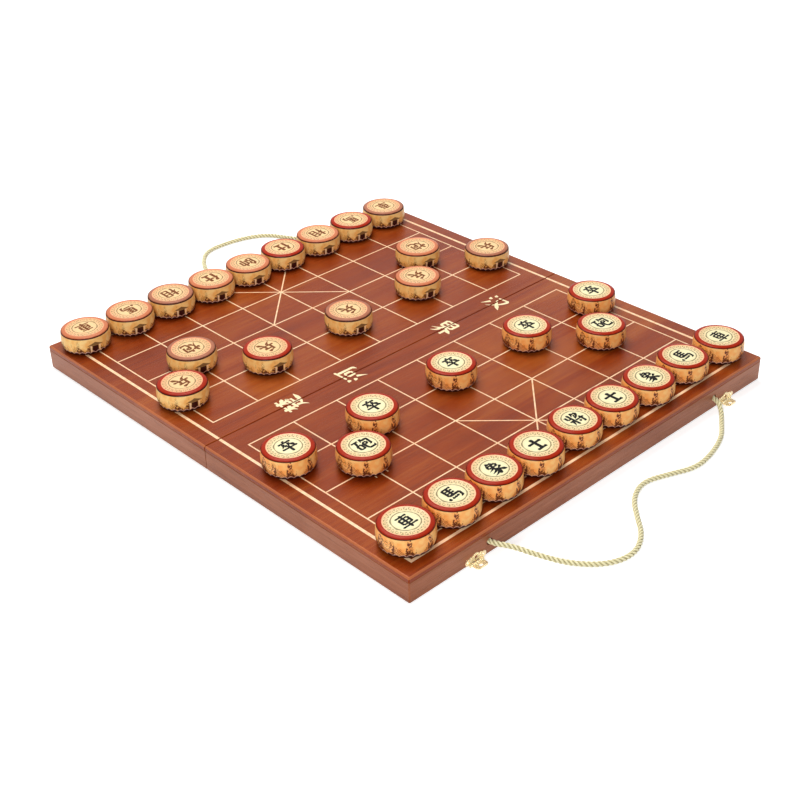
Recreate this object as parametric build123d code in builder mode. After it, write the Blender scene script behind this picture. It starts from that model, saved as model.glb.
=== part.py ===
from build123d import *
import math
import os

os.makedirs("parts", exist_ok=True)

# A folding xiangqi case, opened flat as a board, with its 32 pieces set out on top.
# Origin at the board's middle on the table plane: X along the ranks, the near half
# towards -Y, the far half towards +Y, +Z up. All sizes are in millimetres.

# --- Pieces -------------------------------------------------------------------------
piece_radius = 24.8  # at its widest, the turned belly
piece_spacing = 2.4  # air between two pieces on neighbouring points
piece_height = 20.0
piece_foot_inset = 2.8
piece_belly_height = 9.0
piece_shoulder_inset = 0.9
piece_shoulder_drop = 1.5
piece_groove_depth = 0.6
piece_groove_height = 0.3
face_radius = 19.5
face_recess = 0.3

# --- Board and case -----------------------------------------------------------------
files = 9
ranks = 5  # ranks on each half
side_margin = 29.5  # outermost file to the case's side
end_margin = 27.5  # back rank to the case's end
seam_gap = 0.8  # air between the two halves
wall = 9.0
panel_thickness = 5.0
rail_height = 19.4
felt_thickness = 1.0
edge_round = 2.0  # panel's upper outer edges
corner_round = 1.2  # case's upright corners
seam_chamfer = 0.4
groove_chamfer = 0.5  # fine V between panel and rails

# --- Inlaid lines -------------------------------------------------------------------
line_width = 1.4
line_depth = 0.6
border_width = 3.0
border_distance = 13.0  # grid to the border line's middle
mark_width = 1.2
mark_gap = 6.5  # point to a corner mark
mark_length = 9.0

# --- Butt hinges --------------------------------------------------------------------
hinge_inset = 87.5  # case side to a hinge's middle
hinge_length = 39.0
hinge_knuckle_radius = 1.5
hinge_pin_radius = 0.8
hinge_pin_clearance = 0.05
knuckle_gap = 0.3
hinge_leaf_thickness = 0.9
hinge_leaf_width = 6.2
hinge_leaf_start = 1.8  # pin axis to the leaf's broad part
notch_clearance = 0.4
rim_clearance = 0.1  # rims stay this far above the pin axis
leaf_recess = 0.1
mortise_clearance = 0.1
hinge_screw_spacing = 14.0
countersink_radius = 1.6
screw_shank_radius = 0.8
screw_depth = 5.4
pilot_clearance = 0.03
slot_width = 0.4
slot_depth = 0.3

# --- Latches ------------------------------------------------------------------------
latch_offset = 8.5  # hardware sits this far towards +X of the case's middle
latch_inset = 65.5  # case side to a latch, before the offset
latch_pin_radius = 0.6
latch_pin_press = 0.02
latch_pin_clearance = 0.05
latch_knuckle_radius = 1.3
knuckle_wall_gap = 0.2
sheet_thickness = 0.8
hasp_knuckle_length = 7.8
outer_knuckle_length = 3.8
latch_knuckle_gap = 0.3
hasp_relief = 0.3
hasp_width = 13.0
hasp_reach = 8.2  # pin axis to the hasp's tip
hasp_tip_round = 3.0
stud_reach = 5.2  # pin axis to the stud's hole
stud_hole_radius = 2.0
lip_width = 7.0
lip_height = 1.2
plate_end_radius = 3.0
plate_end_spread = 9.0
plate_end_height = 3.0
plate_crown_radius = 4.2
plate_crown_height = 4.6
plate_shoulder_radius = 2.4
plate_shoulder_spread = 5.6
plate_shoulder_height = 4.6
plate_window_radius = 1.75
plate_notch_clearance = 0.3
catch_end_radius = 2.8
catch_end_spread = 8.2
catch_crown_radius = 3.8
catch_bar_height = 4.6
stud_stem_radius = 0.9
stud_head_radius = 1.3
stud_head_thickness = 0.5
stud_length = 2.2
pan_head_radius = 1.5
pan_head_height = 0.5
wall_screw_depth = 6.0

# --- Rope handles -------------------------------------------------------------------
rope_radius = 2.5
rope_offset = 7.5
rope_inset = 83.0  # case side to a rope hole, before the offset
rope_hole_radius = 3.3
rope_hole_height = 10.9  # rim to the hole's middle
knot_radius = 5.5
knot_length = 8.0
knot_round = 2.0

# --- Worked out ---------------------------------------------------------------------
pitch = 2 * piece_radius + piece_spacing  # distance between two neighbouring board lines
grid_x = pitch * (files - 1) / 2
grid_end = pitch / 2 + pitch * (ranks - 1)
half_width = grid_x + side_margin
front = grid_end + end_margin
seam = seam_gap / 2
hinge_axis_z = hinge_knuckle_radius
rim_z = hinge_axis_z + rim_clearance
rail_top_z = rim_z + rail_height
top_z = rail_top_z + panel_thickness
leaf_z = rim_z + leaf_recess
leaf_end = hinge_leaf_start + hinge_leaf_width
hinge_places = (hinge_inset - half_width, half_width - hinge_inset)
latch_places = (latch_offset + latch_inset - half_width, latch_offset + half_width - latch_inset)
latch_axis_z = latch_knuckle_radius
latch_axis_y = front + knuckle_wall_gap + latch_knuckle_radius
plate_z = rim_z + leaf_recess
notch_z = latch_axis_z + latch_knuckle_radius + plate_notch_clearance
outer_knuckle_start = hasp_knuckle_length / 2 + latch_knuckle_gap
outer_knuckle_end = outer_knuckle_start + outer_knuckle_length
plate_screw_z = plate_z + plate_end_height
# Folding turns the catch over about the hinge axis, to the height of the hasp's hole.
stud_z = 2 * hinge_axis_z - latch_axis_z + stud_reach
rope_places = (rope_offset + rope_inset - half_width, rope_offset + half_width - rope_inset)
rope_hole_z = rim_z + rope_hole_height
knot_seat = front - wall
face_z = piece_height - face_recess

# --- Rope routes --------------------------------------------------------------------
# Each rope lies loose on the table; the points were chosen by hand along it.
near_rope_route = [
    (rope_places[0], -knot_seat, rope_hole_z),
    (rope_places[0], -265, rope_hole_z),
    (-139, -278, 12.5),
    (-127, -297, 6.5),
    (-113, -319, rope_radius),
    (-93, -341, rope_radius),
    (-67, -348, rope_radius),
    (-43, -337, rope_radius),
    (-25, -317, rope_radius),
    (-7, -299, rope_radius),
    (17, -290, rope_radius),
    (42, -299, rope_radius),
    (68, -310.5, rope_radius),
    (97, -307, rope_radius),
    (125, -297.5, rope_radius),
    (143, -284.5, rope_radius),
    (156, -275, 6.3),
    (rope_places[1], -265, rope_hole_z),
    (rope_places[1], -knot_seat, rope_hole_z),
]
far_rope_route = [
    (rope_places[0], knot_seat, rope_hole_z),
    (rope_places[0], 266, rope_hole_z),
    (-137, 279, 8),
    (-116, 284, rope_radius),
    (-88, 282, rope_radius),
    (-58, 284, rope_radius),
    (-28, 293, rope_radius),
    (-2, 312, rope_radius),
    (11, 340, rope_radius),
    (32, 363, rope_radius),
    (62, 365, rope_radius),
    (92, 359, rope_radius),
    (114, 346, rope_radius),
    (125, 322, rope_radius),
    (138, 302, rope_radius),
    (153, 283, 5),
    (rope_places[1], 268, rope_hole_z),
    (rope_places[1], knot_seat, rope_hole_z),
]

# --- Set-out of the pieces ----------------------------------------------------------
# name: file, rank from the half's own end, then how far it stands off the point along X
# and Y, in parts of the pitch.
black_set = {
    "chariot_left": (0, 0, 0.042, 0.161),
    "horse_left": (1, 0, 0.042, 0.161),
    "elephant_left": (2, 0, 0.013, 0.161),
    "advisor_left": (3, 0, 0.003, 0.142),
    "general": (4, 0, 0.042, 0.19),
    "advisor_right": (5, 0, 0.022, 0.18),
    "elephant_right": (6, 0, 0.013, 0.152),
    "horse_right": (7, 0, 0.042, 0.171),
    "chariot_right": (8, 0, 0.09, 0.123),
    "cannon_left": (1, 2, 0.003, 0.171),
    "cannon_right": (7, 2, -0.026, 0.007),
    "soldier_1": (0, 3, 0.099, 0.027),
    "soldier_2": (2, 3, -0.074, -0.041),
    "soldier_3": (4, 3, -0.064, 0.017),
    "soldier_4": (6, 3, -0.064, -0.031),
    "soldier_5": (8, 3, -0.103, 0.007),
}
red_set = {
    "chariot_left": (0, 0, -0.016, 0.017),
    "horse_left": (1, 0, -0.007, -0.002),
    "elephant_left": (2, 0, -0.016, -0.002),
    "advisor_left": (3, 0, -0.045, -0.05),
    "general": (4, 0, -0.064, -0.022),
    "advisor_right": (5, 0, -0.093, 0.017),
    "elephant_right": (6, 0, -0.103, 0.017),
    "horse_right": (7, 0, -0.132, 0.017),
    "chariot_right": (8, 0, -0.132, 0.036),
    "cannon_left": (1, 2, -0.055, -0.118),
    "cannon_right": (7, 2, -0.064, -0.022),
    "soldier_1": (0, 3, 0.09, -0.012),
    "soldier_2": (2, 3, -0.045, -0.127),
    "soldier_3": (4, 3, -0.007, -0.108),
    "soldier_4": (6, 3, -0.035, -0.022),
    "soldier_5": (8, 3, -0.064, -0.108),
}

HALVES = {"near": -1, "far": 1}


def keep(builder, name):
    """Label a finished piece and write it."""
    builder.part.label = name
    export_step(builder.part, f"parts/{name}.step")


def end_plane(side, x, z):
    """Plane on a half's end wall: local x along the wall, local y up, normal outwards."""
    return Plane(origin=(x, side * front, z), x_dir=(-side, 0, 0), z_dir=(0, side, 0))


def half_block(side, bottom, height):
    """Solid block with the half's outline, its two outer upright corners rounded."""
    with BuildSketch(Plane.XY.offset(bottom)) as outline:
        with Locations((0, side * (front + seam) / 2)):
            Rectangle(2 * half_width, front - seam)
        fillet(outline.vertices().sort_by(Axis((0, 0, 0), (0, side, 0)))[2:], corner_round)
    extrude(outline.sketch, amount=height)


def outer_edges(builder, side, level):
    """Edges of the top (-1) or bottom (0) face, all but the one along the seam."""
    return builder.edges().group_by(Axis.Z)[level].sort_by(Axis((0, 0, 0), (0, side, 0)))[1:]


# --- Inlay --------------------------------------------------------------------------
def corner_mark(x, y, turn_x, turn_y):
    """One L beside a point, its arms running away from the point."""
    inner = mark_gap - mark_width / 2
    middle = inner + mark_length / 2
    with Locations((x + turn_x * middle, y + turn_y * mark_gap)):
        Rectangle(mark_length, mark_width)
    with Locations((x + turn_x * mark_gap, y + turn_y * middle)):
        Rectangle(mark_width, mark_length)


def point_marks(side):
    """Corner marks at the cannon and soldier points."""
    cannon_y = side * (grid_end - 2 * pitch)
    soldier_y = side * (grid_end - 3 * pitch)
    points = [(file, cannon_y) for file in (1, files - 2)]
    points += [(file, soldier_y) for file in range(0, files, 2)]
    for file, y in points:
        x = pitch * file - grid_x
        for turn_x in (-1, 1):
            if abs(x + turn_x * pitch) <= grid_x:
                corner_mark(x, y, turn_x, -1)
                corner_mark(x, y, turn_x, 1)


def inlay_drawing(side):
    """Every inlaid line of one half, added to the sketch being built."""
    middle_y = side * (grid_end - pitch * (ranks - 1) / 2)
    depth = pitch * (ranks - 1)
    for file in range(files):
        with Locations((pitch * file - grid_x, middle_y)):
            Rectangle(line_width, depth + line_width)
    for rank in range(ranks):
        with Locations((0, side * (grid_end - pitch * rank))):
            Rectangle(2 * grid_x + line_width, line_width)
    with Locations((0, side * (grid_end - pitch))):
        for slope in (-45, 45):
            Rectangle(2 * pitch * math.sqrt(2), line_width, rotation=slope)
    point_marks(side)
    border_x = grid_x + border_distance
    border_end = grid_end + border_distance
    border_start = seam + seam_chamfer
    for x in (-border_x, border_x):
        with Locations((x, side * (border_start + border_end) / 2)):
            Rectangle(border_width, border_end - border_start)
    with Locations((0, side * border_end)):
        Rectangle(2 * border_x + border_width, border_width)


def playing_panel(half, side):
    with BuildPart() as panel:
        half_block(side, rail_top_z, panel_thickness)
        fillet(outer_edges(panel, side, -1), edge_round)
        chamfer(outer_edges(panel, side, 0), groove_chamfer)
        seam_edge = panel.edges().group_by(Axis.Z)[-1].sort_by(Axis((0, 0, 0), (0, side, 0)))[0]
        chamfer(seam_edge, seam_chamfer)
        with BuildSketch(Plane.XY.offset(top_z - line_depth)):
            inlay_drawing(side)
        extrude(amount=line_depth, mode=Mode.SUBTRACT)
    keep(panel, f"{half}_playing_panel")


def inlay_lines(half, side):
    with BuildPart() as inlay:
        with BuildSketch(Plane.XY.offset(top_z - line_depth)):
            inlay_drawing(side)
        extrude(amount=line_depth)
    keep(inlay, f"{half}_inlay_lines")


def felt_lining(half, side):
    with BuildPart() as felt:
        with BuildSketch(Plane.XY.offset(rail_top_z - felt_thickness)):
            with Locations((0, side * (front + seam) / 2)):
                Rectangle(2 * (half_width - wall), front - seam - 2 * wall)
        extrude(amount=felt_thickness)
    keep(felt, f"{half}_felt_lining")


# --- Frame rails --------------------------------------------------------------------
def rail_blank(builder, side, corners):
    """Mitred rail: the half's frame cut to the wedge between four plan corners."""
    half_block(side, rim_z, rail_height)
    chamfer(outer_edges(builder, side, -1), groove_chamfer)
    with BuildSketch(Plane.XY.offset(rim_z)) as plan:
        with BuildLine():
            Polyline(*corners, close=True)
        make_face()
    extrude(plan.sketch, amount=rail_height, mode=Mode.INTERSECT)


def plan_corners(side):
    """Outer and inner frame corners: end left, end right, seam right, seam left."""
    outer = [
        (-half_width, side * front),
        (half_width, side * front),
        (half_width, side * seam),
        (-half_width, side * seam),
    ]
    inner = [
        (-half_width + wall, side * (front - wall)),
        (half_width - wall, side * (front - wall)),
        (half_width - wall, side * (seam + wall)),
        (-half_width + wall, side * (seam + wall)),
    ]
    return outer, inner


def wedge(side, first):
    """Plan of the rail that runs from one frame corner to the next."""
    outer, inner = plan_corners(side)
    second = (first + 1) % 4
    return outer[first], outer[second], inner[second], inner[first]


def wall_screw_spots(side):
    """Where the screws of the latch plates or catch plates enter an end wall."""
    spread = plate_end_spread if side < 0 else catch_end_spread
    height = plate_screw_z if side < 0 else stud_z
    return [end_plane(side, x + turn * spread, height) for x in latch_places for turn in (-1, 1)]


def front_rail(half, side):
    with BuildPart() as rail:
        rail_blank(rail, side, wedge(side, 0))
        with Locations(*[end_plane(side, x, rope_hole_z) for x in rope_places]):
            Hole(rope_hole_radius, wall)
        with Locations(*wall_screw_spots(side)):
            Hole(screw_shank_radius + pilot_clearance, wall_screw_depth + pilot_clearance)
    keep(rail, f"{half}_front_rail")


def side_rail(half, side, name, first):
    with BuildPart() as rail:
        rail_blank(rail, side, wedge(side, first))
    keep(rail, f"{half}_{name}_rail")


def hinge_screw_spots(side):
    """Points on the leaves' underside where their screws sit."""
    y = side * (hinge_leaf_start + hinge_leaf_width / 2)
    return [(x + step * hinge_screw_spacing, y, leaf_z) for x in hinge_places for step in (-1, 0, 1)]


def cut_along_seam(side, length, reach, height):
    """Cut a straight recess into the seam rail's rim at each hinge."""
    with BuildSketch(Plane.XY.offset(rim_z)) as recess:
        for x in hinge_places:
            with Locations((x, side * (seam + reach) / 2)):
                Rectangle(length, reach - seam)
    extrude(recess.sketch, amount=height - rim_z, mode=Mode.SUBTRACT)


def seam_rail(half, side):
    knuckle_room = hinge_knuckle_radius + notch_clearance
    with BuildPart() as rail:
        rail_blank(rail, side, wedge(side, 2))
        cut_along_seam(side, hinge_length + 2 * knuckle_gap, knuckle_room, hinge_axis_z + knuckle_room)
        cut_along_seam(side, hinge_length + 2 * mortise_clearance, leaf_end + mortise_clearance,
                       leaf_z + hinge_leaf_thickness)
        with BuildSketch(Plane.XY.offset(leaf_z + hinge_leaf_thickness)):
            with Locations(*[(x, y) for x, y, z in hinge_screw_spots(side)]):
                Circle(screw_shank_radius + pilot_clearance)
        extrude(amount=screw_depth + pilot_clearance, mode=Mode.SUBTRACT)
    keep(rail, f"{half}_seam_rail")


# --- Hinges -------------------------------------------------------------------------
def knuckle_spans(side):
    """Stretches of the hinge's length, from its middle, that one leaf's knuckles take."""
    third = hinge_length / 3
    inner = third / 2 - knuckle_gap / 2
    outer = third / 2 + knuckle_gap / 2
    if side < 0:
        return [(-hinge_length / 2, -outer), (outer, hinge_length / 2)]
    return [(-inner, inner)]


def hinge_leaves(half, side):
    with BuildPart() as leaves:
        for x in hinge_places:
            with BuildSketch(Plane.XY.offset(leaf_z)):
                with Locations((x, side * (hinge_leaf_start + leaf_end) / 2)):
                    Rectangle(hinge_length, hinge_leaf_width)
                for start, end in knuckle_spans(side):
                    with Locations((x + (start + end) / 2, side * hinge_leaf_start / 2)):
                        Rectangle(end - start, hinge_leaf_start)
            extrude(amount=hinge_leaf_thickness)
            for start, end in knuckle_spans(side):
                with BuildSketch(Plane.YZ.offset(x + start)):
                    with Locations((0, hinge_axis_z)):
                        Circle(hinge_knuckle_radius)
                extrude(amount=end - start)
            with BuildSketch(Plane.YZ.offset(x - hinge_length / 2)):
                with Locations((0, hinge_axis_z)):
                    Circle(hinge_pin_radius + hinge_pin_clearance)
            extrude(amount=hinge_length, mode=Mode.SUBTRACT)
        with Locations(*hinge_screw_spots(side)):
            Cone(countersink_radius + pilot_clearance, screw_shank_radius + pilot_clearance,
                 hinge_leaf_thickness, align=(Align.CENTER, Align.CENTER, Align.MIN),
                 mode=Mode.SUBTRACT)
    keep(leaves, f"hinge_leaves_{half}")


def hinge_pins():
    with BuildPart() as pins:
        for x in hinge_places:
            with BuildSketch(Plane.YZ.offset(x - hinge_length / 2)):
                with Locations((0, hinge_axis_z)):
                    Circle(hinge_pin_radius)
            extrude(amount=hinge_length)
    keep(pins, "hinge_pins")


# --- Latches ------------------------------------------------------------------------
def latch_tube(x, start, end, radius, mode=Mode.ADD):
    """Round bar along the latch's pin axis, between two distances from its middle."""
    with BuildSketch(Plane.YZ.offset(x + start)) as section:
        with Locations((-latch_axis_y, latch_axis_z)):
            Circle(radius)
    extrude(section.sketch, amount=end - start, mode=mode)


def latch_plates():
    """Lobed plate with a window and two outer knuckles, one at each latch."""
    with BuildPart() as plates:
        for x in latch_places:
            with BuildSketch(end_plane(-1, x, plate_z)):
                with Locations((0, plate_end_height)):
                    Rectangle(2 * plate_end_spread, 2 * plate_end_radius)
                with Locations((-plate_end_spread, plate_end_height), (plate_end_spread, plate_end_height)):
                    Circle(plate_end_radius)
                with Locations((0, plate_crown_height)):
                    Circle(plate_crown_radius)
                for turn in (-1, 1):
                    with Locations((turn * plate_shoulder_spread, plate_shoulder_height)):
                        Circle(plate_shoulder_radius)
                with Locations((0, (notch_z - plate_z) / 2)):
                    Rectangle(2 * outer_knuckle_start, notch_z - plate_z, mode=Mode.SUBTRACT)
                with Locations((0, plate_crown_height)):
                    Circle(plate_window_radius, mode=Mode.SUBTRACT)
                with Locations((-plate_end_spread, plate_end_height), (plate_end_spread, plate_end_height)):
                    Circle(screw_shank_radius + pilot_clearance, mode=Mode.SUBTRACT)
            extrude(amount=sheet_thickness)
            for start in (-outer_knuckle_end, outer_knuckle_start):
                latch_tube(x, start, start + outer_knuckle_length, latch_knuckle_radius)
            latch_tube(x, -outer_knuckle_end, outer_knuckle_end, latch_pin_radius + latch_pin_press,
                       mode=Mode.SUBTRACT)
    keep(plates, "latch_plates")


def latch_pins():
    with BuildPart() as pins:
        for x in latch_places:
            latch_tube(x, -outer_knuckle_end, outer_knuckle_end, latch_pin_radius)
    keep(pins, "latch_pins")


def latch_hasp(name, x):
    """Swinging hasp: a knuckle, a neck, a holed plate and a turned-up finger lip."""
    plate_start = latch_axis_y + latch_knuckle_radius + hasp_relief
    tip = latch_axis_y + hasp_reach
    with BuildPart() as hasp:
        with BuildSketch(Plane.XY.offset(latch_axis_z - sheet_thickness / 2)):
            with Locations((x, -(latch_axis_y + plate_start) / 2)):
                Rectangle(hasp_knuckle_length, plate_start - latch_axis_y)
            with BuildSketch(mode=Mode.PRIVATE) as plate:
                with Locations((x, -(plate_start + tip) / 2)):
                    Rectangle(hasp_width, tip - plate_start)
                fillet(plate.vertices().group_by(Axis.Y)[0], hasp_tip_round)
            add(plate.sketch)
            with Locations((x, -latch_axis_y - stud_reach)):
                Circle(stud_hole_radius, mode=Mode.SUBTRACT)
        extrude(amount=sheet_thickness)
        with BuildSketch(Plane.XY.offset(latch_axis_z)):
            with Locations((x, -tip + sheet_thickness / 2)):
                Rectangle(lip_width, sheet_thickness)
        extrude(amount=sheet_thickness / 2 + lip_height)
        latch_tube(x, -hasp_knuckle_length / 2, hasp_knuckle_length / 2, latch_knuckle_radius)
        latch_tube(x, -hasp_knuckle_length / 2, hasp_knuckle_length / 2,
                   latch_pin_radius + latch_pin_clearance, mode=Mode.SUBTRACT)
    keep(hasp, name)


def catch_plates():
    """Lobed plate with a headed stud, one facing each latch when the case is shut."""
    with BuildPart() as catches:
        for x in latch_places:
            with BuildSketch(end_plane(1, x, stud_z)):
                Rectangle(2 * catch_end_spread, catch_bar_height)
                Circle(catch_crown_radius)
                with Locations((-catch_end_spread, 0), (catch_end_spread, 0)):
                    Circle(catch_end_radius)
                    Circle(screw_shank_radius + pilot_clearance, mode=Mode.SUBTRACT)
            extrude(amount=sheet_thickness)
            with BuildSketch(end_plane(1, x, stud_z).offset(sheet_thickness)):
                Circle(stud_stem_radius)
            extrude(amount=stud_length)
            with BuildSketch(end_plane(1, x, stud_z).offset(sheet_thickness + stud_length - stud_head_thickness)):
                Circle(stud_head_radius)
            extrude(amount=stud_head_thickness)
    keep(catches, "catch_plates")


# --- Screws -------------------------------------------------------------------------
def countersunk_screw():
    """Head down at z = 0, shank upwards, a slot across the head."""
    tip = hinge_leaf_thickness + screw_depth
    with BuildPart() as screw:
        with BuildSketch(Plane.XZ):
            with BuildLine():
                Polyline(
                    (0, 0),
                    (countersink_radius, 0),
                    (screw_shank_radius, hinge_leaf_thickness),
                    (screw_shank_radius, tip - screw_shank_radius),
                    (0, tip),
                    close=True,
                )
            make_face()
        revolve(axis=Axis.Z)
        with Locations((0, 0, slot_depth / 2)):
            Box(2 * countersink_radius, slot_width, slot_depth, mode=Mode.SUBTRACT)
    return screw.part


def pan_screw():
    """Head above z = 0 with a slot across it, shank down through the plate into the wall."""
    tip = -sheet_thickness - wall_screw_depth
    with BuildPart() as screw:
        with BuildSketch(Plane.XZ):
            with BuildLine():
                Polyline(
                    (0, pan_head_height),
                    (pan_head_radius - pan_head_height / 2, pan_head_height),
                    (pan_head_radius, 0),
                    (screw_shank_radius, 0),
                    (screw_shank_radius, tip + screw_shank_radius),
                    (0, tip),
                    close=True,
                )
            make_face()
        revolve(axis=Axis.Z)
        with Locations((0, 0, pan_head_height - slot_depth / 2)):
            Box(2 * pan_head_radius, slot_width, slot_depth, mode=Mode.SUBTRACT)
    return screw.part


def brass_screws(half, side):
    sunk = countersunk_screw()
    pan = pan_screw()
    with BuildPart() as screws:
        with Locations(*hinge_screw_spots(side)):
            add(sunk)
        with Locations(*[spot.offset(sheet_thickness) for spot in wall_screw_spots(side)]):
            add(pan)
    keep(screws, f"{half}_brass_screws")


# --- Ropes --------------------------------------------------------------------------
def bend_radii(route):
    """Largest tangent arc at each corner: 0.45 of the shorter run over tan(half turn)."""
    radii = []
    for before, corner, after in zip(route, route[1:], route[2:]):
        arriving = Vector(corner) - Vector(before)
        leaving = Vector(after) - Vector(corner)
        turn = math.radians(arriving.get_angle(leaving))
        shorter = min(arriving.length, leaving.length)
        radii.append(0.45 * shorter / math.tan(turn / 2))
    return radii


def handle_rope(half, route):
    radii = bend_radii(route)
    with BuildPart() as rope:
        with BuildLine():
            path = FilletPolyline(*route, radius=radii)
        with BuildSketch(Plane(origin=path @ 0, z_dir=path % 0)):
            Circle(rope_radius)
        sweep(path=path)
    expected = math.pi * rope_radius**2 * path.length
    print(half, "rope radii", [round(radius, 1) for radius in radii])
    print(half, "rope length", round(path.length, 1), "volume ratio", round(rope.part.volume / expected, 4))
    keep(rope, f"{half}_handle_rope")


def rope_knots(half, side):
    """Stopper knots against the wall's inner face, one at each rope hole."""
    with BuildPart() as knots:
        for x in rope_places:
            with BuildSketch(end_plane(side, x, rope_hole_z).offset(-wall)):
                Circle(knot_radius)
            extrude(amount=-knot_length)
        round_edges = knots.edges().filter_by(GeomType.CIRCLE)
        fillet(round_edges, knot_round)
    keep(knots, f"{half}_rope_knots")


# --- Pieces -------------------------------------------------------------------------
def xiangqi_piece(name, x, y):
    """Turned drum: narrow foot, full belly, a fine groove, rounded rim, sunk face."""
    foot = piece_radius - piece_foot_inset
    heel = (foot + piece_foot_inset / 4, piece_foot_inset / 4)
    shoulder = piece_radius - piece_shoulder_inset
    shoulder_z = piece_height - piece_shoulder_drop
    groove = shoulder - piece_groove_depth
    groove_top = shoulder_z + piece_groove_height
    rim = shoulder - piece_groove_depth / 2
    with BuildPart() as piece:
        with BuildSketch(Plane(origin=(x, y, top_z), x_dir=(1, 0, 0), z_dir=(0, -1, 0))):
            with BuildLine():
                Polyline((0, face_z), (0, 0), (foot, 0), heel)
                TangentArc((piece_radius, piece_belly_height), heel, tangent=(0, -1))
                TangentArc((piece_radius, piece_belly_height), (shoulder, shoulder_z), tangent=(0, 1))
                Polyline((shoulder, shoulder_z), (groove, shoulder_z), (groove, groove_top), (rim, groove_top))
                TangentArc((face_radius, piece_height), (rim, groove_top), tangent=(1, 0))
                Polyline((face_radius, piece_height), (face_radius, face_z), (0, face_z))
            make_face()
        revolve(axis=Axis((x, y, top_z), (0, 0, 1)))
    keep(piece, name)


def set_of_pieces(colour, side, layout):
    for name, (file, rank, shift_x, shift_y) in layout.items():
        x = pitch * (file + shift_x) - grid_x
        y = side * (grid_end - pitch * rank) + pitch * shift_y
        xiangqi_piece(f"{colour}_{name}", x, y)


for half, side in HALVES.items():
    playing_panel(half, side)
    inlay_lines(half, side)
    felt_lining(half, side)
    front_rail(half, side)
    side_rail(half, side, "right", 1)
    seam_rail(half, side)
    side_rail(half, side, "left", 3)
    hinge_leaves(half, side)
    brass_screws(half, side)
    rope_knots(half, side)
handle_rope("near", near_rope_route)
handle_rope("far", far_rope_route)
hinge_pins()
latch_plates()
latch_pins()
latch_hasp("latch_hasp_left", latch_places[0])
latch_hasp("latch_hasp_right", latch_places[1])
catch_plates()
set_of_pieces("black", HALVES["near"], black_set)
set_of_pieces("red", HALVES["far"], red_set)
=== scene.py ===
import math

import bmesh
import bpy
import numpy as np
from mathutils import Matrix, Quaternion, Vector


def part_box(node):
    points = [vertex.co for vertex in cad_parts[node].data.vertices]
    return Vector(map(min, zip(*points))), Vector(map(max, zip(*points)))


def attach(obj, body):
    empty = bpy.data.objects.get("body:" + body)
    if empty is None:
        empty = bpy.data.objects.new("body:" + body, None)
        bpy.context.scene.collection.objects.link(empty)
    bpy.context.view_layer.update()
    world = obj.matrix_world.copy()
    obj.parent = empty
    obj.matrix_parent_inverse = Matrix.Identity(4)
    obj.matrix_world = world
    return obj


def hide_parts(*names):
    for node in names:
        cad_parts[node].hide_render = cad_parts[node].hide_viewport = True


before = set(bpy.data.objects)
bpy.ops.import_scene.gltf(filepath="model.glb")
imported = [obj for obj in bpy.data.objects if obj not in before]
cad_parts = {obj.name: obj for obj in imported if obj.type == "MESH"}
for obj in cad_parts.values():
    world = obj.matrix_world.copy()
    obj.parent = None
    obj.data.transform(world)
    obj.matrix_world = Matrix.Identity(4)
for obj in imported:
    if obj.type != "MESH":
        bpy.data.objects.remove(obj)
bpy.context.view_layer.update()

MM = 0.001
WHITE = (1.0, 1.0, 1.0, 1.0)
MIDDLE_GREY = (0.5, 0.5, 0.5, 1.0)


# --- Shader nodes --------------------------------------------------------------------
def add_node(tree, kind, inputs=None, **settings):
    """Adds a shader node. A value in inputs is a number, a colour or another node's socket."""
    node = tree.nodes.new(kind)
    for key, value in settings.items():
        setattr(node, key, value)
    for socket, value in (inputs or {}).items():
        if isinstance(value, bpy.types.NodeSocket):
            tree.links.new(value, node.inputs[socket])
        else:
            node.inputs[socket].default_value = value
    return node


def number(tree, operation, a, b=0.0, c=0.0, clamp=False):
    """Output of one Math node, with clamp for a share between 0 and 1."""
    inputs = {0: a, 1: b, 2: c}
    node = add_node(tree, "ShaderNodeMath", inputs, operation=operation, use_clamp=clamp)
    return node.outputs[0]


def product(tree, first, *others):
    """All the values multiplied together."""
    for other in others:
        first = number(tree, "MULTIPLY", first, other)
    return first


def weighted(tree, *terms):
    """Sum of pairs of a socket and its weight."""
    total = 0.0
    for socket, weight in terms:
        total = number(tree, "MULTIPLY_ADD", socket, weight, total)
    return total


def excess(tree, value, limit, gain):
    """What value is over limit, times gain, kept between 0 and 1."""
    return number(tree, "MULTIPLY", number(tree, "SUBTRACT", value, limit), gain, clamp=True)


def span(tree, value, start, end):
    """How far value has come from start to end, between 0 and 1."""
    inputs = {"Value": value, "From Min": start, "From Max": end}
    return add_node(tree, "ShaderNodeMapRange", inputs).outputs[0]


def within(tree, value, low, high, soft):
    """1 between two limits and 0 outside them, over a soft edge."""
    rising = span(tree, value, low - soft, low + soft)
    falling = span(tree, value, high + soft, high - soft)
    return product(tree, rising, falling)


def noise(tree, scale, detail, place=None, **more):
    """Noise between 0 and 1, over the object's bounding box where no place is given."""
    inputs = {"Scale": scale, "Detail": detail, **more}
    if place is not None:
        inputs["Vector"] = place
    return add_node(tree, "ShaderNodeTexNoise", inputs).outputs["Fac"]


def stretched_noise(tree, place, scale, detail, distortion=0.0):
    """Noise on coordinates scaled by three factors, for figure that is long one way."""
    mapping = add_node(tree, "ShaderNodeMapping", {"Vector": place, "Scale": scale})
    mapped = mapping.outputs["Vector"]
    return noise(tree, 1.0, detail, mapped, Roughness=0.6, Distortion=distortion)


def ramp(tree, share, stops):
    """Colour ramp from pairs of place and colour."""
    node = add_node(tree, "ShaderNodeValToRGB", {"Fac": share})
    elements = node.color_ramp.elements
    while len(elements) < len(stops):
        elements.new(0.5)
    for element, (place, colour) in zip(elements, stops):
        element.position = place
        element.color = colour
    return node.outputs["Color"]


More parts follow.
